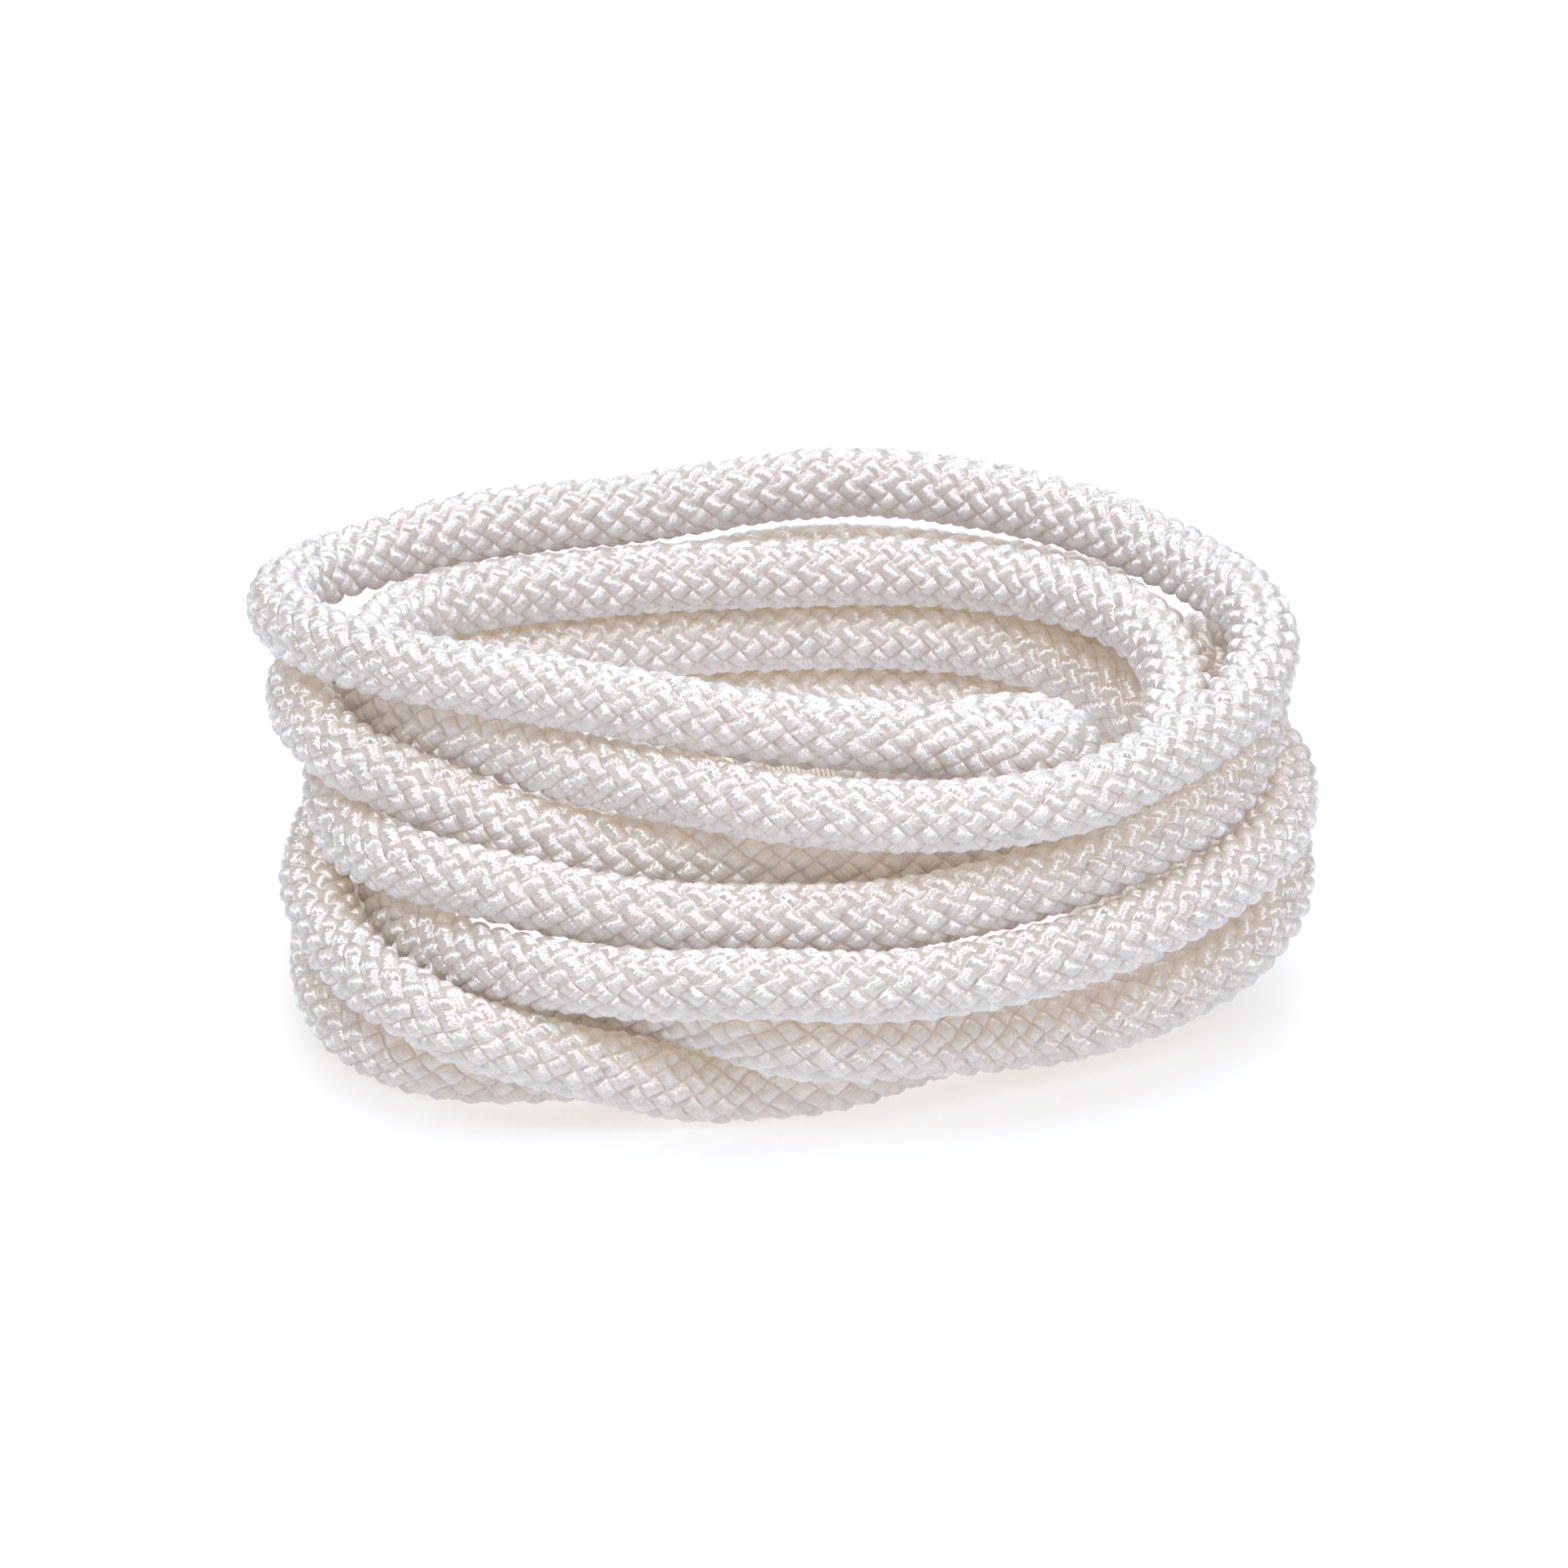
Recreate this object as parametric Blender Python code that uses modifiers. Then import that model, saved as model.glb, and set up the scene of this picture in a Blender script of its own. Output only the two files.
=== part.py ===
"""Coiled dock line: one braided rope laid down in eight loose turns, its two ends whipped.

Run it with: blender --background --python part.py
Metres, +Z up. The coil stands on Z = 0 and its front faces -Y.
"""

import bpy
import numpy as np

MM = 0.001

# Rope, in millimetres. It is a 12 mm line: SPACING is how far apart touching turns lie.
SPACING = 12.0
COVER_RADIUS = 5.7
COVER_WALL = 1.5
CORE_RADIUS = 3.7

# Each end is pinched by a twine whipping and finished with a melted tip.
PINCH = 0.87
WHIPPING_RADIUS = 5.7
WHIPPING_WALL = 0.4
TIP_GAP = 0.3
TIP_PROFILE = ((0.0, 4.9), (1.6, 4.7), (2.6, 3.6), (3.0, 2.2))  # (mm past the end, radius)

# The curves' round section has eight sides. One of them faces down.
SECTION_SIDES = 8
SECTION_RESOLUTION = 2
FLAT_DOWN = np.pi / SECTION_SIDES
RESTING_HEIGHT = COVER_RADIUS * np.cos(FLAT_DOWN)

# The inner end and the tight bight that joins it to the top turn: (x, y, z).
INNER_END = (
    (-8, -37, 46), (0, -35, 46), (8, -32, 47), (16, -29, 48), (24, -27, 50), (31, -25.5, 51),
    (37, -25.5, 51.5), (42.5, -28, 52), (45.5, -33.5, 52), (43.5, -39, 52), (38, -42, 53),
    (31.5, -43, 55), (25, -44, 57), (17, -46, 59), (9, -47, 60),
)

# One row for each turn, from the top one down, and one number for every 15 degrees round it.
# A turn starts at the front and goes round by the left, the back and the right.
# TURN_OUT is how far the rope lies from the middle of the coil, TURN_UP its height.
TURN_STEP = 15
TURN_OUT = (
    (46, 45, 46, 49, 56, 67, 78, 83, 76, 66, 61, 60, 62, 66, 69, 71, 73, 75, 77, 75, 70, 66, 62, 57),
    (53, 50, 49, 50, 54, 63, 68, 70, 67, 60, 55, 52, 51, 54, 58, 62, 65, 65, 64, 63, 59, 55, 52, 49),
    (47, 48, 50, 54, 62, 72, 76, 77, 76, 72, 67, 63, 63, 66, 70, 73, 73, 76, 80, 80, 76, 72, 69, 67),
    (67, 68, 70, 70, 69, 66, 64, 63, 66, 67, 67, 67, 66, 68, 69, 71, 74, 75, 74, 73, 71, 67, 63, 60),
    (58, 60, 62, 66, 70, 72, 72, 70, 66, 60, 56, 53, 53, 55, 59, 63, 66, 73, 80, 79, 72, 64, 60, 63),
    (65, 60, 59, 61, 62, 62, 62, 62, 59, 57, 56, 54, 54, 56, 59, 62, 64, 65, 67, 65, 58, 51, 49, 54),
    (59, 63, 73, 80, 79, 77, 72, 69, 69, 69, 68, 68, 67, 67, 69, 69, 66, 62, 55, 51, 46, 41, 39, 42),
    (46, 50, 59, 74, 78, 76, 74, 76, 75, 72, 69, 67, 66, 67, 69),
)
TURN_UP = (
    (60, 61, 61, 61, 61, 60, 58, 56, 55, 55, 55, 56, 57, 57, 56, 56, 55, 55, 54, 53, 52, 51, 50, 50),
    (50, 50, 50, 49, 49, 48, 48, 48, 47, 46, 46, 46, 46, 46, 46, 46, 46, 46, 44, 41, 38, 37, 38, 39),
    (40, 40, 40, 40, 41, 43, 45, 43, 38, 37, 37, 40, 43, 43, 42, 41, 38, 35, 33, 31, 30, 29, 27, 26),
    (25, 25, 25, 24, 24, 23, 23, 23, 24, 26, 29, 31, 31, 31, 31, 33, 38, 41, 43, 40, 38, 36, 35, 33),
    (33, 33, 33, 33, 34, 34, 34, 34, 34, 34, 34, 34, 34, 34, 34, 33, 30, 26, 21, 15, 11, 9, 10, 13),
    (15, 17, 17, 14, 12, 10, 10, 12, 15, 18, 20, 22, 22, 22, 22, 20, 17, 13, 9, 7, 5, 5, 5, 5),
    (5, 7, 13, 18, 19, 22, 25, 25, 24, 22, 20, 18, 18, 18, 18, 17, 16, 14, 11, 8, 6, 5, 5, 5),
    (5, 5, 5, 5, 5, 5, 5, 5, 5, 5, 5, 5, 5, 5, 5),
)

# How the route is laid: even steps along it, smoothed, then pushed apart turn from turn.
LAYING_STEP = 4.0
FAIRING_ROUNDS = 20
SETTLING_ROUNDS = 150
LAST_ROUNDS = 12
NEIGHBOUR_STEPS = 6
HOLD = 0.02
PUSH = 1.2

# Rings of the tubes: one at the latest after so many millimetres, or after so sharp a turn.
# They are picked from points ROUTE_STEP apart. END_RINGS are those nearest to each end.
ROUTE_STEP = 2.0
RING_STEP = 14.0
RING_TURN = np.radians(14)
END_RINGS = (0, 2, 8, 10)

COLLECTION = "coiled_dock_line"
BRAID_WHITE = (0.80, 0.79, 0.78)
CORE_WHITE = (0.86, 0.84, 0.80)
TWINE_WHITE = (0.72, 0.70, 0.66)
MELTED_CREAM = (0.62, 0.55, 0.44)


def curve_through(values, steps):
    """Catmull-Rom values through the given ones, with so many steps from each to the next."""
    first = 2 * values[0] - values[1]
    last = 2 * values[-1] - values[-2]
    padded = np.concatenate([[first], values, [last]])
    t = np.arange(steps) / steps
    spans = []
    for a, b, c, d in zip(padded, padded[1:], padded[2:], padded[3:]):
        bend = (2 * a - 5 * b + 4 * c - d) * t**2 + (3 * b - a - 3 * c + d) * t**3
        spans.append(b + 0.5 * ((c - a) * t + bend))
    return np.concatenate(spans + [values[-1:]])


def evenly_spaced(points, step):
    """Points about one step apart along the smooth curve through the given ones."""
    fine = np.stack([curve_through(column, 12) for column in points.T], axis=1)
    pieces = np.linalg.norm(np.diff(fine, axis=0), axis=1)
    along = np.concatenate([[0], np.cumsum(pieces)])
    wanted = np.linspace(0, along[-1], round(along[-1] / step) + 1)
    return np.stack([np.interp(wanted, along, column) for column in fine.T], axis=1)


def averaged(points, weight):
    """Each inner point moved by that share of the way to the middle of its neighbours."""
    result = points.copy()
    result[1:-1] += weight * (0.5 * (points[:-2] + points[2:]) - points[1:-1])
    return result


def faired(points):
    """Smooth points. The second, opposite step keeps the bends from pulling in."""
    for _ in range(FAIRING_ROUNDS):
        points = averaged(points, 0.6)
        points = averaged(points, -0.63)
    return points


def pushed_apart(points, first, second):
    """Points moved so that stretches of rope nearer than SPACING back away from each other."""
    between = points[second] - points[first]
    distance = np.sqrt((between**2).sum(axis=1))
    close = distance < SPACING
    share = 0.5 * (SPACING / distance[close] - 1)
    push = between[close] * share[:, None]
    moves = np.zeros_like(points)
    count = np.zeros(len(points))
    for index, sign in ((first[close], -1), (second[close], 1)):
        np.add.at(moves, index, sign * push)
        np.add.at(count, index, 1)
    return points + PUSH * moves / np.maximum(count, 1)[:, None]


def settled(route):
    """The route with its turns one diameter apart and nothing below the floor."""
    first, second = np.triu_indices(len(route), NEIGHBOUR_STEPS)
    points = route.copy()
    for count in range(SETTLING_ROUNDS):
        points = pushed_apart(points, first, second)
        if count < SETTLING_ROUNDS - LAST_ROUNDS:
            points = route + averaged(points - route, 0.5) * (1 - HOLD)
        points[:, 2] = np.maximum(points[:, 2], RESTING_HEIGHT)
    return points


def turn_points():
    """Places on the coil's turns, worked out from the two tables."""
    points = []
    angle = -90
    for outs, ups in zip(TURN_OUT, TURN_UP):
        for out, up in zip(outs, ups):
            turn = np.radians(angle)
            points.append((out * np.cos(turn), out * np.sin(turn), up))
            angle -= TURN_STEP
    return points


def rope_route():
    """The rope's centre line, in millimetres, with the coil's middle over the origin."""
    places = np.array(list(INNER_END) + turn_points(), float)
    laid = settled(faired(evenly_spaced(places, LAYING_STEP)))
    route = evenly_spaced(laid, ROUTE_STEP)
    route[:, 2] = np.maximum(route[:, 2], RESTING_HEIGHT)
    middle = 0.5 * (route.min(axis=0) + route.max(axis=0))
    return route - (middle[0], middle[1], 0)


def ring_places(route):
    """Which route points carry a ring of the tubes: closer together where the rope bends."""
    last = len(route) - 1
    fixed = set(END_RINGS) | {last - index for index in END_RINGS}
    steps = np.diff(route, axis=0)
    steps /= np.linalg.norm(steps, axis=1)[:, None]
    bends = np.arccos(np.clip((steps[:-1] * steps[1:]).sum(axis=1), -1, 1))
    rings = []
    travelled = 0.0
    turned = 0.0
    for index in range(len(route)):
        travelled += ROUTE_STEP
        turned += bends[index - 1] if 0 < index < last else 0.0
        inside = max(END_RINGS) < index < last - max(END_RINGS)
        if index in fixed or (inside and (travelled > RING_STEP or turned > RING_TURN)):
            rings.append(index)
            travelled = 0.0
            turned = 0.0
    return rings


def cover_radii(rings, last):
    """The cover's radius at each ring: pinched under the whippings."""
    pinched = max(END_RINGS)
    return [COVER_RADIUS * (PINCH if min(i, last - i) < pinched else 1) for i in rings]


def new_material(name, colour, roughness):
    """A plain Principled material."""
    material = bpy.data.materials.new(name)
    material.use_nodes = True
    shader = material.node_tree.nodes["Principled BSDF"]
    shader.inputs["Base Color"].default_value = (*colour, 1)
    shader.inputs["Roughness"].default_value = roughness
    shader.inputs["Metallic"].default_value = 0.0
    material.diffuse_color = (*colour, 1)
    return material


def tube_curve(name, points, radii, capped):
    """A curve with a round section, whose radius may change from point to point."""
    curve = bpy.data.curves.new(name, "CURVE")
    curve.dimensions = "3D"
    curve.twist_mode = "Z_UP"
    curve.bevel_depth = MM
    curve.bevel_resolution = SECTION_RESOLUTION
    curve.use_fill_caps = capped
    spline = curve.splines.new("POLY")
    spline.points.add(len(points) - 1)
    for spot, place, radius in zip(spline.points, points, radii):
        spot.co = (*(np.asarray(place) * MM), 1)
        spot.radius = radius
        spot.tilt = FLAT_DOWN
    return bpy.data.objects.new(name, curve)


def add_solid_tube(collection, name, points, radii, material):
    """A capped tube."""
    tube = tube_curve(name, points, radii, capped=True)
    tube.data.materials.append(material)
    collection.objects.link(tube)
    return tube


def add_sleeve(collection, name, points, radii, wall, material):
    """A tube open at both ends, with a wall that goes inwards from its outside."""
    guide = tube_curve(name + "_guide", points, radii, capped=False)
    collection.objects.link(guide)
    graph = bpy.context.evaluated_depsgraph_get()
    mesh = bpy.data.meshes.new_from_object(guide.evaluated_get(graph))
    bpy.data.objects.remove(guide)
    mesh.name = name
    mesh.materials.clear()
    mesh.materials.append(material)
    mesh.shade_smooth()
    sleeve = bpy.data.objects.new(name, mesh)
    collection.objects.link(sleeve)
    shell = sleeve.modifiers.new("wall", "SOLIDIFY")
    shell.thickness = wall * MM
    shell.offset = -1
    return sleeve


def add_rope(collection, route, rings):
    """The braided cover and the core that fills it."""
    last = len(route) - 1
    points = route[rings]
    cover = cover_radii(rings, last)
    core = [radius * CORE_RADIUS / COVER_RADIUS * PINCH ** (radius < COVER_RADIUS) for radius in cover]
    braid = new_material("braid_white", BRAID_WHITE, 0.45)
    strands = new_material("core_white", CORE_WHITE, 0.6)
    add_sleeve(collection, "rope_cover", points, cover, COVER_WALL, braid)
    add_solid_tube(collection, "rope_core", points, core, strands)


def add_end(collection, end, route, twine, melted):
    """The whipping and the melted tip of one end. The route given starts at that end."""
    ring = route[list(END_RINGS[1:3])]
    radii = [WHIPPING_RADIUS] * len(ring)
    add_sleeve(collection, "whipping_" + end, ring, radii, WHIPPING_WALL, twine)
    away = route[0] - route[1]
    away /= np.linalg.norm(away)
    points = [route[0] + away * (TIP_GAP + past) for past, _ in TIP_PROFILE]
    radii = [radius for _, radius in TIP_PROFILE]
    add_solid_tube(collection, "melted_tip_" + end, points, radii, melted)


def main():
    for old in list(bpy.data.objects):
        bpy.data.objects.remove(old)
    collection = bpy.data.collections.new(COLLECTION)
    bpy.context.scene.collection.children.link(collection)
    route = rope_route()
    add_rope(collection, route, ring_places(route))
    twine = new_material("twine_white", TWINE_WHITE, 0.7)
    melted = new_material("melted_cream", MELTED_CREAM, 0.35)
    add_end(collection, "inner", route, twine, melted)
    add_end(collection, "outer", route[::-1], twine, melted)


main()
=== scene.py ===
"""Coiled dock line: the braided rope, its whippings and melted tips, on a pale floor.

Lengths are in millimetres until a mesh is made, and in metres from there on.
"""

import bpy
import numpy as np
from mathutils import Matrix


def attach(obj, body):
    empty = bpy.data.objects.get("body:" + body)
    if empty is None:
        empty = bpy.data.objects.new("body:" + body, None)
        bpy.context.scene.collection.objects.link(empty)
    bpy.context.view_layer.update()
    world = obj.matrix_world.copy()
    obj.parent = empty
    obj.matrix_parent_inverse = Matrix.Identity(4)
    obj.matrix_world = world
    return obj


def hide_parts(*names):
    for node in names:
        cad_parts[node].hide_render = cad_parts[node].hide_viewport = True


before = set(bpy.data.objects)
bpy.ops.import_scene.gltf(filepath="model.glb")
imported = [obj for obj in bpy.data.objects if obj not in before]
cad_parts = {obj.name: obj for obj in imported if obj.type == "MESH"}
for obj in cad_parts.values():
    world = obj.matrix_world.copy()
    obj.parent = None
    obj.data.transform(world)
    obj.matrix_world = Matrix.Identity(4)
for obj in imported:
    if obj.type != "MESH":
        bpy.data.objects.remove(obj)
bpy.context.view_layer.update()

MM = 0.001

# ---------------------------------------------------------------- the rope's route

# It is the route that the CAD model's rope takes. The CAD cover has eight sides, one of them down.
SPACING = 12.0
CAD_COVER_RADIUS = 5.7
RESTING_HEIGHT = CAD_COVER_RADIUS * np.cos(np.pi / 8)

# The inner end and the tight bight that joins it to the top turn: (x, y, z).
INNER_END = (
    (-8, -37, 46), (0, -35, 46), (8, -32, 47), (16, -29, 48), (24, -27, 50), (31, -25.5, 51),
    (37, -25.5, 51.5), (42.5, -28, 52), (45.5, -33.5, 52), (43.5, -39, 52), (38, -42, 53),
    (31.5, -43, 55), (25, -44, 57), (17, -46, 59), (9, -47, 60),
)

# One row for each turn, from the top one down, and one number for every 15 degrees round it.
# A turn starts at the front and goes round by the left, the back and the right.
# TURN_OUT is how far the rope lies from the middle of the coil, TURN_UP its height.
FIRST_ANGLE = -90
TURN_STEP = 15
TURN_OUT = (
    (46, 45, 46, 49, 56, 67, 78, 83, 76, 66, 61, 60, 62, 66, 69, 71, 73, 75, 77, 75, 70, 66, 62, 57),
    (53, 50, 49, 50, 54, 63, 68, 70, 67, 60, 55, 52, 51, 54, 58, 62, 65, 65, 64, 63, 59, 55, 52, 49),
    (47, 48, 50, 54, 62, 72, 76, 77, 76, 72, 67, 63, 63, 66, 70, 73, 73, 76, 80, 80, 76, 72, 69, 67),
    (67, 68, 70, 70, 69, 66, 64, 63, 66, 67, 67, 67, 66, 68, 69, 71, 74, 75, 74, 73, 71, 67, 63, 60),
    (58, 60, 62, 66, 70, 72, 72, 70, 66, 60, 56, 53, 53, 55, 59, 63, 66, 73, 80, 79, 72, 64, 60, 63),
    (65, 60, 59, 61, 62, 62, 62, 62, 59, 57, 56, 54, 54, 56, 59, 62, 64, 65, 67, 65, 58, 51, 49, 54),
    (59, 63, 73, 80, 79, 77, 72, 69, 69, 69, 68, 68, 67, 67, 69, 69, 66, 62, 55, 51, 46, 41, 39, 42),
    (46, 50, 59, 74, 78, 76, 74, 76, 75, 72, 69, 67, 66, 67, 69),
)
TURN_UP = (
    (60, 61, 61, 61, 61, 60, 58, 56, 55, 55, 55, 56, 57, 57, 56, 56, 55, 55, 54, 53, 52, 51, 50, 50),
    (50, 50, 50, 49, 49, 48, 48, 48, 47, 46, 46, 46, 46, 46, 46, 46, 46, 46, 44, 41, 38, 37, 38, 39),
    (40, 40, 40, 40, 41, 43, 45, 43, 38, 37, 37, 40, 43, 43, 42, 41, 38, 35, 33, 31, 30, 29, 27, 26),
    (25, 25, 25, 24, 24, 23, 23, 23, 24, 26, 29, 31, 31, 31, 31, 33, 38, 41, 43, 40, 38, 36, 35, 33),
    (33, 33, 33, 33, 34, 34, 34, 34, 34, 34, 34, 34, 34, 34, 34, 33, 30, 26, 21, 15, 11, 9, 10, 13),
    (15, 17, 17, 14, 12, 10, 10, 12, 15, 18, 20, 22, 22, 22, 22, 20, 17, 13, 9, 7, 5, 5, 5, 5),
    (5, 7, 13, 18, 19, 22, 25, 25, 24, 22, 20, 18, 18, 18, 18, 17, 16, 14, 11, 8, 6, 5, 5, 5),
    (5, 5, 5, 5, 5, 5, 5, 5, 5, 5, 5, 5, 5, 5, 5),
)

# How the route is laid: even steps along it, smoothed, then pushed apart turn from turn.
LAYING_STEP = 4.0
ROUTE_STEP = 2.0
CURVE_STEPS = 12
FAIRING_ROUNDS = 20
FAIRING_IN, FAIRING_OUT = 0.6, -0.63
SETTLING_ROUNDS = 150
LAST_ROUNDS = 12
NEIGHBOUR_STEPS = 6
HOLD = 0.02
PUSH = 1.2


def curve_through(values, steps):
    """Catmull-Rom values through the given ones, with so many steps from each to the next."""
    first = 2 * values[0] - values[1]
    last = 2 * values[-1] - values[-2]
    padded = np.concatenate([[first], values, [last]])
    t = np.arange(steps) / steps
    spans = []
    for a, b, c, d in zip(padded, padded[1:], padded[2:], padded[3:]):
        bend = (2 * a - 5 * b + 4 * c - d) * t**2 + (3 * b - a - 3 * c + d) * t**3
        spans.append(b + 0.5 * ((c - a) * t + bend))
    return np.concatenate(spans + [values[-1:]])


def distances_along(points):
    """How far along the line through the points each of them is."""
    return np.concatenate([[0], np.cumsum(np.linalg.norm(np.diff(points, axis=0), axis=1))])


def evenly_spaced(points, step):
    """Points about so far apart on the smooth curve through the given ones."""
    fine = np.stack([curve_through(column, CURVE_STEPS) for column in points.T], axis=1)
    along = distances_along(fine)
    wanted = np.linspace(0, along[-1], round(along[-1] / step) + 1)
    return np.stack([np.interp(wanted, along, column) for column in fine.T], axis=1)


def averaged(points, weight):
    """Each point moved towards the middle of its two neighbours, the ends left in place."""
    result = points.copy()
    result[1:-1] += weight * (0.5 * (points[:-2] + points[2:]) - points[1:-1])
    return result


def faired(points):
    """The line without its small kinks. Averaging in and then out keeps its size."""
    for _ in range(FAIRING_ROUNDS):
        points = averaged(points, FAIRING_IN)
        points = averaged(points, FAIRING_OUT)
    return points


def pushed_apart(points, first, second):
    """Points nearer to each other than the rope is thick, moved apart."""
    between = points[second] - points[first]
    distance = np.sqrt((between**2).sum(axis=1))
    close = distance < SPACING
    share = 0.5 * (SPACING / distance[close] - 1)
    push = between[close] * share[:, None]
    moves = np.zeros_like(points)
    count = np.zeros(len(points))
    for index, sign in ((first[close], -1), (second[close], 1)):
        np.add.at(moves, index, sign * push)
        np.add.at(count, index, 1)
    return points + PUSH * moves / np.maximum(count, 1)[:, None]


def settled(route):
    """The route with its turns lying on each other and on the floor, and not in each other."""
    first, second = np.triu_indices(len(route), NEIGHBOUR_STEPS)
    points = route.copy()
    for count in range(SETTLING_ROUNDS):
        points = pushed_apart(points, first, second)
        if count < SETTLING_ROUNDS - LAST_ROUNDS:
            points = route + averaged(points - route, 0.5) * (1 - HOLD)
        points[:, 2] = np.maximum(points[:, 2], RESTING_HEIGHT)
    return points


def turn_points():
    points = []
    angle = FIRST_ANGLE
    for outs, ups in zip(TURN_OUT, TURN_UP):
        for out, up in zip(outs, ups):
            turn = np.radians(angle)
            points.append((out * np.cos(turn), out * np.sin(turn), up))
            angle -= TURN_STEP
    return points


def rope_route():
    """(the rope's centre line, the middle of the coil before it was put over the origin)."""
    places = np.array(list(INNER_END) + turn_points(), float)
    laid = settled(faired(evenly_spaced(places, LAYING_STEP)))
    route = evenly_spaced(laid, ROUTE_STEP)
    route[:, 2] = np.maximum(route[:, 2], RESTING_HEIGHT)
    middle = 0.5 * (route.min(axis=0) + route.max(axis=0))
    return route - (middle[0], middle[1], 0), middle


def line_frames(places):
    """Two side vectors at each place of a line, carried along it without twisting."""
    tangent = np.gradient(places, axis=0)
    tangent /= np.linalg.norm(tangent, axis=1)[:, None]
    side = np.empty_like(tangent)
    s = np.cross(tangent[0], (0, 0, 1.0))
    side[0] = s / np.linalg.norm(s)
    for k in range(1, len(tangent)):
        s = side[k - 1] - tangent[k] * (side[k - 1] @ tangent[k])
        side[k] = s / np.linalg.norm(s)
    return side, np.cross(tangent, side)


ROUTE, MIDDLE = rope_route()
LENGTH = float(np.linalg.norm(np.diff(ROUTE, axis=0), axis=1).sum())
STATIONS = np.linspace(0, LENGTH, len(ROUTE))
SIDE, UP = line_frames(ROUTE)

# ---------------------------------------------------------------- what every piece on the rope uses

# Surfaces that would reach lower are flattened at this height, so that none is in the floor.
LOWEST = 0.02

# Up to PINCH_TO from each tip the rope is PINCH_BY as thick, and the last PINCH_OVER is a slope.
PINCH_TO = 19.0
PINCH_OVER = 4.0
PINCH_BY = 0.86


def at_station(values, s):
    """The value at each distance s along the rope, of values given for each point of the route."""
    return np.stack([np.interp(s, STATIONS, column) for column in values.T], axis=-1)


def ways_round(s, angle):
    """Unit vectors from the rope's middle outwards, at distances s along it and angles round it."""
    return (
        np.cos(angle)[:, None] * at_station(SIDE, s)
        + np.sin(angle)[:, None] * at_station(UP, s)
    )


def pinch(s):
    """How thick the rope is at distances s along it: 1, and less at its whipped ends."""
    near = np.minimum(s, LENGTH - s)
    ease = np.clip((PINCH_TO - near) / PINCH_OVER, 0, 1)
    return 1 - (1 - PINCH_BY) * (ease * ease * (3 - 2 * ease))


def scatter(i, j, salt):
    """A number from 0 to 1 that only depends on i, j and salt."""
    x = np.sin(i * 127.1 + j * 311.7 + salt * 74.7) * 43758.5453
    return x - np.floor(x)


# ---------------------------------------------------------------- the braided cover

# Half of the yarns wind one way and half the other, one over, one under. Where two cross is a cell.
# A cell is counted along both: (i, j). PITCH is from one cell to the next straight along the rope.
CARRIERS = 16
EACH_WAY = CARRIERS // 2
PITCH = 4.8

# The yarns lie CREASE_RADIUS from the rope's middle at their edges and LUMP_HEIGHT more on top.
CREASE_RADIUS = 4.92
LUMP_HEIGHT = 1.05
LEAST_LUMP, LUMP_VARIES = 0.9, 0.2
CROWN_POWER = 0.7
BULGE = 0.10

# The mesh's lines across a cell, closer together near its edges, where the yarn rolls under.
CELL_LINES = np.array([-1, -0.84, -0.48, 0, 0.48, 0.84])
FINE = len(CELL_LINES)
AROUND = EACH_WAY * FINE


def braid_grid():
    """(rows, row, column): how many rows the mesh has, and each point's row and column.

    Rows go along the rope. Odd rows are half a step round, so the grid's diagonals are the yarns.
    """
    rows = int(LENGTH * 2 * FINE / PITCH) + 1
    row = np.repeat(np.arange(rows), AROUND)
    column = 2 * np.tile(np.arange(AROUND), rows) + (row % 2)
    return rows, row, column


def cells_at(row, column):
    """(u, v, i, j, first_over): the grid's lines both ways, the cell, and which yarn is on top."""
    u, v = (column - row) // 2, (column + row) // 2
    i, j = np.floor_divide(u, FINE), np.floor_divide(v, FINE)
    return u, v, i, j, (i + j) % 2 == 0


def cell_numbers(i, j):
    """The cell's numbers, the same however often they have gone round the rope."""
    turns = np.floor_divide(i + j, CARRIERS)
    return i - EACH_WAY * turns, j - EACH_WAY * turns


def braid_points(row, column):
    """(each point's place, how high it is on its yarn, from 0 at the edges to 1 on top)."""
    u, v, i, j, first_over = cells_at(row, column)
    du, dv = CELL_LINES[u % FINE], CELL_LINES[v % FINE]
    along = np.where(first_over, dv, du)
    across = np.where(first_over, du, dv)
    near_middle = np.cos(0.5 * np.pi * along)
    near_ridge = np.cos(0.5 * np.pi * across)
    crown = np.sqrt(np.maximum(1 - across**2, 0)) * np.maximum(near_middle, 0) ** CROWN_POWER
    along = along * (1 - BULGE * near_ridge)
    across = across * (1 + BULGE * near_middle)
    du = np.where(first_over, across, along)
    dv = np.where(first_over, along, across)
    u, v = i + 0.5 * du, j + 0.5 * dv
    angle = 2 * np.pi * (u + v) / CARRIERS
    s = np.clip((v - u) * PITCH / 2, 0, LENGTH)
    lump = scatter(*cell_numbers(i, j), 1.0)
    radius = (CREASE_RADIUS + LUMP_HEIGHT * (LEAST_LUMP + LUMP_VARIES * lump) * crown) * pinch(s)
    places = at_station(ROUTE, s) + radius[:, None] * ways_round(s, angle)
    places[:, 2] = np.maximum(places[:, 2], LOWEST)
    return places, crown


def braid_quads(row, column):
    """The four points of each face, which is a diamond: its left, bottom, right and top."""
    corners = ((row, column), (row - 1, column + 1), (row, column + 2), (row + 1, column + 1))
    return np.stack([r * AROUND + np.mod(c, 2 * AROUND) // 2 for r, c in corners], axis=1)


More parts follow.
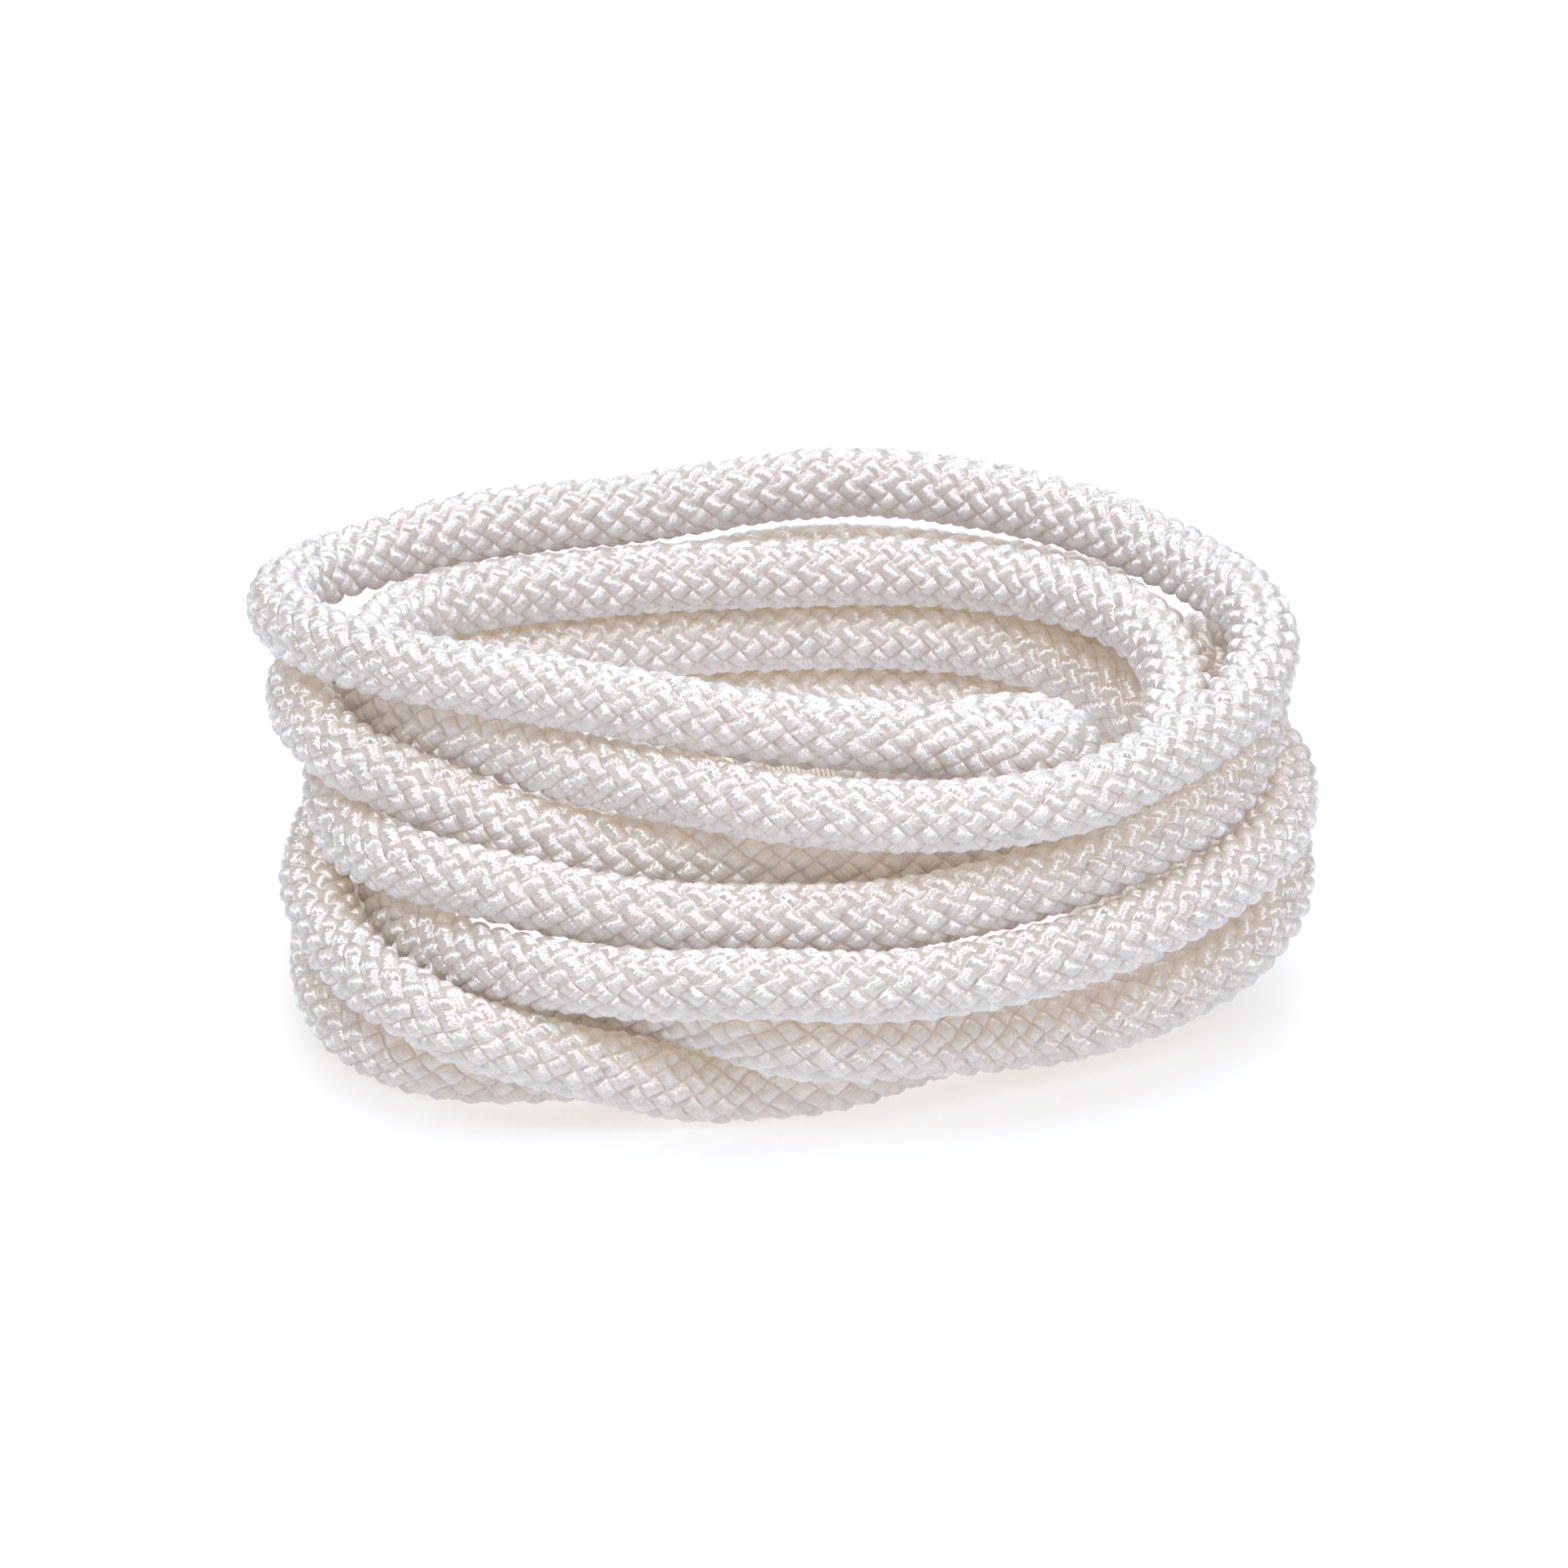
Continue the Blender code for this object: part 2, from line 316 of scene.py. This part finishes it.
def braid_face_values(row, column):
    """(UV along and across the yarn at each face's corners, the material's numbers for each face)."""
    u, v, i, j, first_over = cells_at(row, column)
    lines = np.concatenate([CELL_LINES, [1.0]])
    u, v = u % FINE, v % FINE
    corner_u = np.stack([lines[u], lines[u + 1], lines[u + 1], lines[u]], axis=1)
    corner_v = np.stack([lines[v], lines[v], lines[v + 1], lines[v + 1]], axis=1)
    along = np.where(first_over[:, None], corner_v, corner_u)
    across = np.where(first_over[:, None], corner_u, corner_v)
    i, j = cell_numbers(i, j)
    numbers = {
        "lump": scatter(i, j, 1.0),
        "yarn_tone": np.where(first_over, scatter(i, 0, 2.0), scatter(j, 0, 3.0)),
    }
    return np.stack([along * 0.5, across * 0.5], axis=-1), numbers


def braid_mesh():
    rows, row, column = braid_grid()
    places, crown = braid_points(row, column)
    face_row = row.reshape(rows, AROUND)[1:-1].ravel()
    face_column = column.reshape(rows, AROUND)[1:-1].ravel()
    quads = braid_quads(face_row, face_column)
    uv, numbers = braid_face_values(face_row, face_column)

    mesh = bpy.data.meshes.new("braided_cover")
    mesh.vertices.add(len(places))
    mesh.vertices.foreach_set("co", (places * MM).ravel())
    mesh.loops.add(quads.size)
    mesh.loops.foreach_set("vertex_index", quads.ravel().astype(np.int32))
    mesh.polygons.add(len(quads))
    mesh.polygons.foreach_set("loop_start", np.arange(0, quads.size, 4, dtype=np.int32))
    mesh.update(calc_edges=True)
    mesh.shade_smooth()
    layer = mesh.uv_layers.new(name="yarn")
    layer.uv.foreach_set("vector", uv.reshape(-1).astype(np.float32))
    for name, values in numbers.items():
        layer = mesh.attributes.new(name, "FLOAT", "FACE")
        layer.data.foreach_set("value", values.astype(np.float32))
    layer = mesh.attributes.new("crown", "FLOAT", "POINT")
    layer.data.foreach_set("value", crown.astype(np.float32))
    return mesh


# ---------------------------------------------------------------- tubes and the core

CORE_RADIUS = 3.5
CORE_STRANDS = 7
CORE_SIDES = 42
CORE_LAY = 70.0
CORE_GROOVE = 0.10


def tube_mesh(name, tubes):
    """A mesh of tubes. Each is rings of points, all of one count, and is capped at both ends."""
    points, faces = [], []
    for rings in tubes:
        first = sum(map(len, points))
        count, sides = rings.shape[:2]
        ring, side = np.divmod(np.arange((count - 1) * sides), sides)
        here = first + ring * sides
        ahead = (side + 1) % sides
        quads = np.stack([here + side, here + ahead, here + sides + ahead, here + sides + side], axis=1)
        faces += quads.tolist()
        faces.append(list(range(first, first + sides))[::-1])
        last = first + (count - 1) * sides
        faces.append(list(range(last, last + sides)))
        points.append(rings.reshape(-1, 3) * MM)
    mesh = bpy.data.meshes.new(name)
    mesh.from_pydata(np.concatenate(points).tolist(), [], faces)
    mesh.update()
    mesh.shade_smooth()
    return mesh


def angles_round(sides):
    return 2 * np.pi * np.arange(sides) / sides


def swept(places, radii):
    """Rings round a line of places: radii has one row for each place and one column for each side."""
    side, up = line_frames(places)
    angle = angles_round(radii.shape[1])
    ways = np.cos(angle)[None, :, None] * side[:, None] + np.sin(angle)[None, :, None] * up[:, None]
    return places[:, None] + radii[:, :, None] * ways


def core_mesh():
    """The strands inside the cover, laid round each other."""
    angle = angles_round(CORE_SIDES)
    turn = CORE_STRANDS * (angle[None] - 2 * np.pi * STATIONS[:, None] / CORE_LAY)
    lobes = CORE_RADIUS * (1 - CORE_GROOVE + CORE_GROOVE * np.sqrt(np.abs(np.sin(0.5 * turn))))
    return tube_mesh("core_strands", [swept(ROUTE, lobes * pinch(STATIONS)[:, None])])


# ---------------------------------------------------------------- the whippings

# Distances are from the rope's tip, radii from its middle.
WHIPPING_FROM, WHIPPING_TO = 4.4, 15.6
WRAP_RADIUS = 5.26
WRAP_WANDER, WANDER_TURN = 0.05, 9.7
WRAP_STEPS = 44
STITCH_RADIUS = 5.80
STITCHES = 3
STITCH_STEPS = 60
STITCH_PAST = 0.7
STITCH_SLANT = 0.9
STITCH_SINKS_FROM, STITCH_SINKS = 0.86, 1.5

TWINE_RADIUS = 0.38
TWINE_SIDES = 9
TWINE_PLIES = 3
TWINE_LAY = 6.6
PLY_GROOVE = 0.14


def twine(stations, radii, turns):
    """Twisted twine on the rope, at distances stations along it, radii out and turns round it."""
    places = at_station(ROUTE, stations) + radii[:, None] * ways_round(stations, turns)
    run = distances_along(places)
    twist = angles_round(TWINE_SIDES)[None] - 2 * np.pi * run[:, None] / TWINE_LAY
    plies = 1 - PLY_GROOVE + PLY_GROOVE * np.cos(TWINE_PLIES * twist)
    rings = swept(places, TWINE_RADIUS * plies)
    rings[:, :, 2] = np.maximum(rings[:, :, 2], LOWEST)
    return rings


def whipping_mesh(name, outer):
    """Close wraps of twine, held by slanting stitches over them."""
    def place(from_tip):
        return LENGTH - from_tip if outer else from_tip

    long = WHIPPING_TO - WHIPPING_FROM
    wraps = long / (2 * TWINE_RADIUS)
    t = np.linspace(0, 1, int(wraps * WRAP_STEPS))
    radii = WRAP_RADIUS + WRAP_WANDER * np.sin(WANDER_TURN * wraps * t)
    tubes = [twine(place(WHIPPING_FROM + long * t), radii, 2 * np.pi * wraps * t)]
    t = np.linspace(0, 1, STITCH_STEPS)
    sunk = np.clip((np.abs(2 * t - 1) - STITCH_SINKS_FROM) / (1 - STITCH_SINKS_FROM), 0, 1)
    for stitch in range(STITCHES):
        stations = WHIPPING_FROM - STITCH_PAST + (long + 2 * STITCH_PAST) * t
        turns = 2 * np.pi * stitch / STITCHES + STITCH_SLANT * t
        tubes.append(twine(place(stations), STITCH_RADIUS - STITCH_SINKS * sunk**2, turns))
    return tube_mesh(name, tubes)


# ---------------------------------------------------------------- the melted tips

TIP_SHAPE = (  # (mm past the rope's end, radius)
    (-0.3, 4.30), (-0.1, 4.95), (0.3, 5.25), (0.9, 5.20),
    (1.6, 4.85), (2.2, 4.20), (2.8, 3.10), (3.15, 1.70),
)
TIP_STEPS = 26
TIP_SIDES = 72
TIP_CLOSES_AT = 0.22
CLOSING_SHARES = (0.62, 0.25, 0.02)

# The lumps are waves: (share, waves round the tip, radians for each mm past the end, phases).
# They grow between two distances past the end, and push the tip both outwards and forwards.
TIP_WAVES = ((0.45, 5, 1.9, 1), (0.30, 9, -2.7, 3), (0.25, 3, 3.1, 5))
PHASE_INNER, PHASE_OUTER = 0.4, 2.1
TIP_LUMP = 0.22
LUMPS_FROM, LUMPS_TO = -0.3, 0.3
LUMPS_OUTWARDS = 0.2
ALL_FORWARDS_AT = 3


def tip_profile():
    """Columns of mm past the rope's end and radius, rounded off from TIP_SHAPE."""
    shape = np.array(TIP_SHAPE)
    steps, knots = np.linspace(0, 1, TIP_STEPS), np.linspace(0, 1, len(shape))
    profile = np.stack([np.interp(steps, knots, column) for column in shape.T], axis=1)
    past, radius = averaged(averaged(profile, 0.5), 0.5).T
    return past[:, None], radius[:, None]


def tip_lumps(angle, past, phase):
    waves = sum(
        share * np.sin(round_it * angle + along * past + phases * phase)
        for share, round_it, along, phases in TIP_WAVES
    )
    return TIP_LUMP * np.clip((past - LUMPS_FROM) / (LUMPS_TO - LUMPS_FROM), 0, 1) * waves


def tip_mesh(name, outer):
    """The end of the rope, melted to a lumpy rounded cap."""
    end, before = (ROUTE[-1], ROUTE[-2]) if outer else (ROUTE[0], ROUTE[1])
    away = (end - before) / np.linalg.norm(end - before)
    side = np.cross(away, (0, 0, 1.0))
    side /= np.linalg.norm(side)
    up = np.cross(away, side)
    past, radius = tip_profile()
    angle = angles_round(TIP_SIDES)
    lumps = tip_lumps(angle, past, PHASE_OUTER if outer else PHASE_INNER)
    radii = radius * (1 + LUMPS_OUTWARDS * lumps)
    forward = past + lumps * np.clip(past / ALL_FORWARDS_AT, 0, 1)
    ways = np.cos(angle)[:, None] * side + np.sin(angle)[:, None] * up
    rings = end + forward[:, :, None] * away + radii[:, :, None] * ways
    last = rings[-1]
    middle = last.mean(axis=0) + away * TIP_CLOSES_AT
    closing = np.stack([middle + (last - middle) * share for share in CLOSING_SHARES])
    rings = np.concatenate([rings, closing])
    rings[:, :, 2] = np.maximum(rings[:, :, 2], LOWEST)
    return tube_mesh(name, [rings])


# ---------------------------------------------------------------- materials

YARN_WHITE = (0.90, 0.872, 0.870, 1)
# Painted shade: a cream colour for the yarns where they dip into the creases between them, standing for
# warm light and shade there.
PAINTED_CREASE_SHADE = (0.86, 0.80, 0.76, 1)
TWINE_GREY = (0.84, 0.82, 0.80, 1)
TWINE_WHITE = (0.92, 0.905, 0.895, 1)
TWINE_WAX = (0.86, 0.83, 0.78, 1)
MELT_DARK = (0.80, 0.72, 0.56, 1)
MELT_PALE = (0.88, 0.84, 0.75, 1)
MELT_CHAR = (0.42, 0.29, 0.16, 1)
CORE_DARK = (0.80, 0.78, 0.74, 1)
CORE_PALE = (0.90, 0.89, 0.87, 1)

# Noise with stretched cells draws the fibres: LOW and HIGH are where its streaks begin and end.
FIBRES = (1.1, 24.0, 1.0)
STRANDS = (0.8, 9.0, 1.0)
STREAK_LOW, STREAK_HIGH = 0.35, 0.65
FIBRE_TILT = 1.7


class Nodes:
    """A material, and short names for making its nodes."""

    def __init__(self, name):
        self.material = bpy.data.materials.new(name)
        self.material.use_nodes = True
        self.tree = self.material.node_tree
        self.shader = self.tree.nodes["Principled BSDF"]

    def add(self, kind, **settings):
        node = self.tree.nodes.new(kind)
        for key, value in settings.items():
            setattr(node, key, value)
        return node

    def put(self, socket, value):
        if isinstance(value, bpy.types.NodeSocket):
            self.tree.links.new(value, socket)
        else:
            socket.default_value = value

    def surface(self, **values):
        """Puts values on the shader's inputs. A name's words are joined by _ here."""
        for name, value in values.items():
            self.put(self.shader.inputs[name.replace("_", " ")], value)

    def math(self, operation, a, b):
        node = self.add("ShaderNodeMath", operation=operation)
        self.put(node.inputs[0], a)
        self.put(node.inputs[1], b)
        return node.outputs[0]

    def vector_math(self, operation, **values):
        """The values are for the node's inputs Vector, Vector_001 or Scale, by identifier."""
        node = self.add("ShaderNodeVectorMath", operation=operation)
        for socket in node.inputs:
            if socket.identifier in values:
                self.put(socket, values[socket.identifier])
        return node.outputs[0]

    def between(self, value, low, high, to_low=0.0, to_high=1.0):
        """0 below low and 1 above high, or to_low and to_high, and eased from one to the other."""
        node = self.add("ShaderNodeMapRange", interpolation_type="SMOOTHSTEP")
        for socket, given in zip(node.inputs, (value, low, high, to_low, to_high)):
            self.put(socket, given)
        return node.outputs[0]

    def mix(self, factor, a, b, blend="MIX"):
        node = self.add("ShaderNodeMix", data_type="RGBA", blend_type=blend)
        self.put(node.inputs[0], factor)
        self.put(node.inputs[6], a)
        self.put(node.inputs[7], b)
        return node.outputs[2]

    def grey(self, value):
        node = self.add("ShaderNodeCombineColor")
        for socket in node.inputs[:3]:
            self.put(socket, value)
        return node.outputs[0]

    def attribute(self, name):
        return self.add("ShaderNodeAttribute", attribute_name=name).outputs["Fac"]

    def place(self):
        return self.add("ShaderNodeTexCoord").outputs["Object"]

    def noise(self, vector, scale, detail, rough, seed=None):
        node = self.add("ShaderNodeTexNoise")
        if seed is not None:
            node.noise_dimensions = "4D"
            self.put(node.inputs["W"], seed)
        self.put(node.inputs["Vector"], vector)
        self.put(node.inputs["Scale"], scale)
        self.put(node.inputs["Detail"], detail)
        self.put(node.inputs["Roughness"], rough)
        return node.outputs["Fac"]

    def stretched(self, vector, scale):
        node = self.add("ShaderNodeMapping")
        self.put(node.inputs["Vector"], vector)
        self.put(node.inputs["Scale"], scale)
        return node.outputs[0]

    def bump(self, height, strength, distance):
        node = self.add("ShaderNodeBump")
        self.put(node.inputs["Strength"], strength)
        self.put(node.inputs["Distance"], distance)
        self.put(node.inputs["Height"], height)
        return node.outputs[0]


def braid_material():
    """Satin filament yarn: every fibre tips its highlight a little further or less along the yarn."""
    n = Nodes("satin_braid")
    uv = n.add("ShaderNodeUVMap", uv_map="yarn").outputs[0]
    tangent = n.add("ShaderNodeTangent", direction_type="UV_MAP", uv_map="yarn").outputs[0]
    cell = n.attribute("lump")
    seed = n.math("MULTIPLY", cell, 50.0)
    fibre = n.noise(n.stretched(uv, FIBRES), 1.0, 2.0, 0.6, seed)
    strand = n.noise(n.stretched(uv, STRANDS), 1.0, 2.0, 0.7, seed)
    streak = n.math("ADD", n.math("MULTIPLY", fibre, 0.45), n.math("MULTIPLY", strand, 0.55))
    tone = n.between(n.attribute("yarn_tone"), 0.0, 1.0, 0.96, 1.03)
    shade = n.math("MULTIPLY", n.between(streak, STREAK_LOW, STREAK_HIGH, 0.86, 1.03), tone)
    # Painted shade: where a yarn is low at its edges (crown near 0) its colour goes to the cream crease
    # colour.
    colour = n.mix(n.between(n.attribute("crown"), 0.0, 0.25), PAINTED_CREASE_SHADE, YARN_WHITE)
    own_tilt = n.between(cell, 0.0, 1.0, 0.43, 0.57)
    tilt = n.math("MULTIPLY", n.math("SUBTRACT", strand, own_tilt), FIBRE_TILT)
    lean = n.vector_math("SCALE", Vector=tangent, Scale=tilt)
    leaning = n.vector_math("ADD", Vector=n.bump(streak, 1.0, 0.00010), Vector_001=lean)
    n.surface(
        Base_Color=n.mix(1.0, colour, n.grey(shade), "MULTIPLY"),
        Roughness=n.between(streak, STREAK_LOW, STREAK_HIGH, 0.56, 0.48),
        Metallic=0.42, Specular_IOR_Level=1.0,
        Anisotropic=0.96, Anisotropic_Rotation=0.25, Tangent=tangent,
        Subsurface_Weight=0.7, Subsurface_Radius=(1.0, 0.72, 0.48), Subsurface_Scale=0.0035,
        Normal=n.vector_math("NORMALIZE", Vector=leaning),
    )
    return n.material


def twine_material():
    n = Nodes("waxed_twine")
    place = n.place()
    fluff = n.noise(place, 2600.0, 3.0, 0.6)
    wear = n.noise(place, 260.0, 2.0, 0.5)
    colour = n.mix(n.between(fluff, 0.35, 0.65), TWINE_GREY, TWINE_WHITE)
    n.surface(
        Base_Color=n.mix(n.between(wear, 0.45, 0.7), colour, TWINE_WAX),
        Roughness=n.between(wear, 0.3, 0.7, 0.48, 0.68), Sheen_Weight=0.2,
        Normal=n.bump(fluff, 0.6, 0.00012),
    )
    return n.material


def melted_material():
    n = Nodes("melted_nylon")
    place = n.place()
    cloud = n.noise(place, 420.0, 4.0, 0.6)
    char = n.noise(place, 900.0, 2.0, 0.5)
    colour = n.mix(n.between(cloud, 0.35, 0.65), MELT_DARK, MELT_PALE)
    n.surface(
        Base_Color=n.mix(n.between(char, 0.62, 0.75), colour, MELT_CHAR),
        Roughness=n.between(cloud, 0.3, 0.7, 0.22, 0.42),
        Subsurface_Weight=0.5, Subsurface_Radius=(1.0, 0.7, 0.4), Subsurface_Scale=0.002,
        Normal=n.bump(cloud, 0.4, 0.0004),
    )
    return n.material


def core_material():
    n = Nodes("core_filaments")
    grain = n.noise(n.place(), 1400.0, 3.0, 0.6)
    n.surface(
        Base_Color=n.mix(n.between(grain, 0.35, 0.65), CORE_DARK, CORE_PALE),
        Roughness=n.between(grain, 0.3, 0.7, 0.5, 0.65),
        Normal=n.bump(grain, 0.5, 0.0002),
    )
    return n.material


# ---------------------------------------------------------------- floor, camera and light, in metres

FLOOR_SIZE = 8
FLOOR_COLOUR = (0.80, 0.87, 1.0, 1)
FLOOR_GLOW = (0.96, 0.97, 1.0, 1)

CAMERA_DISTANCE = 1.70
CAMERA_ELEVATION = np.radians(24)
CAMERA_LENS = 241.4
CAMERA_AIM = np.array([-MIDDLE[0] * MM, -MIDDLE[1] * MM, 0.0307])

LIGHT_AIM = np.array([0, 0, 0.03])
LEFT, RIGHT = (-0.42, -0.40, 1.02), (0.52, -0.50, 0.86)
COOL = (0.68, 0.81, 1.0)
GLINT = (0.88, 0.92, 1.0)
WARM = (1.0, 0.80, 0.52)
WORLD_COLOUR = (0.90, 0.94, 1.0, 1)
WORLD_STRENGTH = 0.27


def add_floor():
    """A pale floor that glows faintly, so that the undersides of the turns aren't dark."""
    bpy.ops.mesh.primitive_plane_add(size=FLOOR_SIZE)
    floor = bpy.context.object
    floor.name = "floor"
    n = Nodes("pale_floor")
    n.surface(Base_Color=FLOOR_COLOUR, Roughness=0.8, Emission_Color=FLOOR_GLOW, Emission_Strength=0.16)
    floor.data.materials.append(n.material)


def add_camera():
    camera = bpy.data.cameras.new("camera")
    camera.lens = CAMERA_LENS
    camera.sensor_width = 36
    camera.clip_start = 0.05
    ob = bpy.data.objects.new("camera", camera)
    back = np.array([0, -np.cos(CAMERA_ELEVATION), np.sin(CAMERA_ELEVATION)])
    ob.location = CAMERA_AIM + back * CAMERA_DISTANCE
    ob.rotation_euler = (np.pi / 2 - CAMERA_ELEVATION, 0, 0)
    bpy.context.scene.collection.objects.link(ob)
    bpy.context.scene.camera = ob


def add_light(name, kind, strength, place, colour):
    """(the light, its object), aimed at the middle of the coil."""
    light = bpy.data.lights.new(name, kind)
    light.energy = strength
    light.color = colour
    ob = bpy.data.objects.new(name, light)
    ob.location = place
    x, y, z = LIGHT_AIM - np.array(place)
    ob.rotation_euler = (np.arctan2(np.hypot(x, y), -z), 0, np.arctan2(y, x) - np.pi / 2)
    bpy.context.scene.collection.objects.link(ob)
    return light, ob


def add_disk(name, size, power, place, colour, shine_only=False):
    """A round lamp. With shine_only it only adds highlights."""
    light, ob = add_light(name, "AREA", power, place, colour)
    light.shape = "DISK"
    light.size = size
    ob.visible_diffuse = not shine_only


def add_fill(name, strength, place):
    """Warm light that reaches into the creases, as it does through a rope that lets light pass."""
    light, ob = add_light(name, "SUN", strength, place, WARM)
    light.angle = 0.8
    light.use_shadow = False
    ob.visible_glossy = False


def add_lights():
    add_disk("key", 0.42, 0.9, LEFT, COOL)
    add_disk("second", 0.36, 0.85, RIGHT, COOL)
    add_disk("behind", 0.8, 6.5, (0.0, 1.2, 0.8), COOL)
    add_disk("overhead", 0.36, 0.85, (0.03, 0.0, 0.52), COOL)
    add_disk("glint_left", 0.28, 7.0, LEFT, GLINT, shine_only=True)
    add_disk("glint_right", 0.26, 4.5, RIGHT, GLINT, shine_only=True)
    add_fill("fill_front", 1.6, (0.05, -0.55, 0.95))
    add_fill("fill_back", 0.65, (-0.05, 0.55, 0.95))


def add_world():
    world = bpy.data.worlds.new("studio")
    world.use_nodes = True
    background = world.node_tree.nodes["Background"]
    background.inputs["Color"].default_value = WORLD_COLOUR
    background.inputs["Strength"].default_value = WORLD_STRENGTH
    bpy.context.scene.world = world
    bpy.context.scene.view_settings.view_transform = "Standard"


# ---------------------------------------------------------------- the scene


def add_piece(name, mesh, material, node):
    """A piece on the root body, with its material, that stands for a CAD node."""
    mesh.materials.append(material)
    ob = bpy.data.objects.new(name, mesh)
    bpy.context.scene.collection.objects.link(ob)
    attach(ob, "root")
    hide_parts(node)
    return ob


def add_rope():
    rope = add_piece("braided_cover", braid_mesh(), braid_material(), "rope_cover")
    on_rope = [add_piece("core_strands", core_mesh(), core_material(), "rope_core")]
    waxed, melted = twine_material(), melted_material()
    for end, outer in (("inner", False), ("outer", True)):
        name = "twine_whipping_" + end
        mesh = whipping_mesh(name, outer)
        on_rope.append(add_piece(name, mesh, waxed, "whipping_" + end))
        name = "melted_cap_" + end
        mesh = tip_mesh(name, outer)
        on_rope.append(add_piece(name, mesh, melted, "melted_tip_" + end))


add_camera()
add_rope()
add_floor()
add_lights()
add_world()
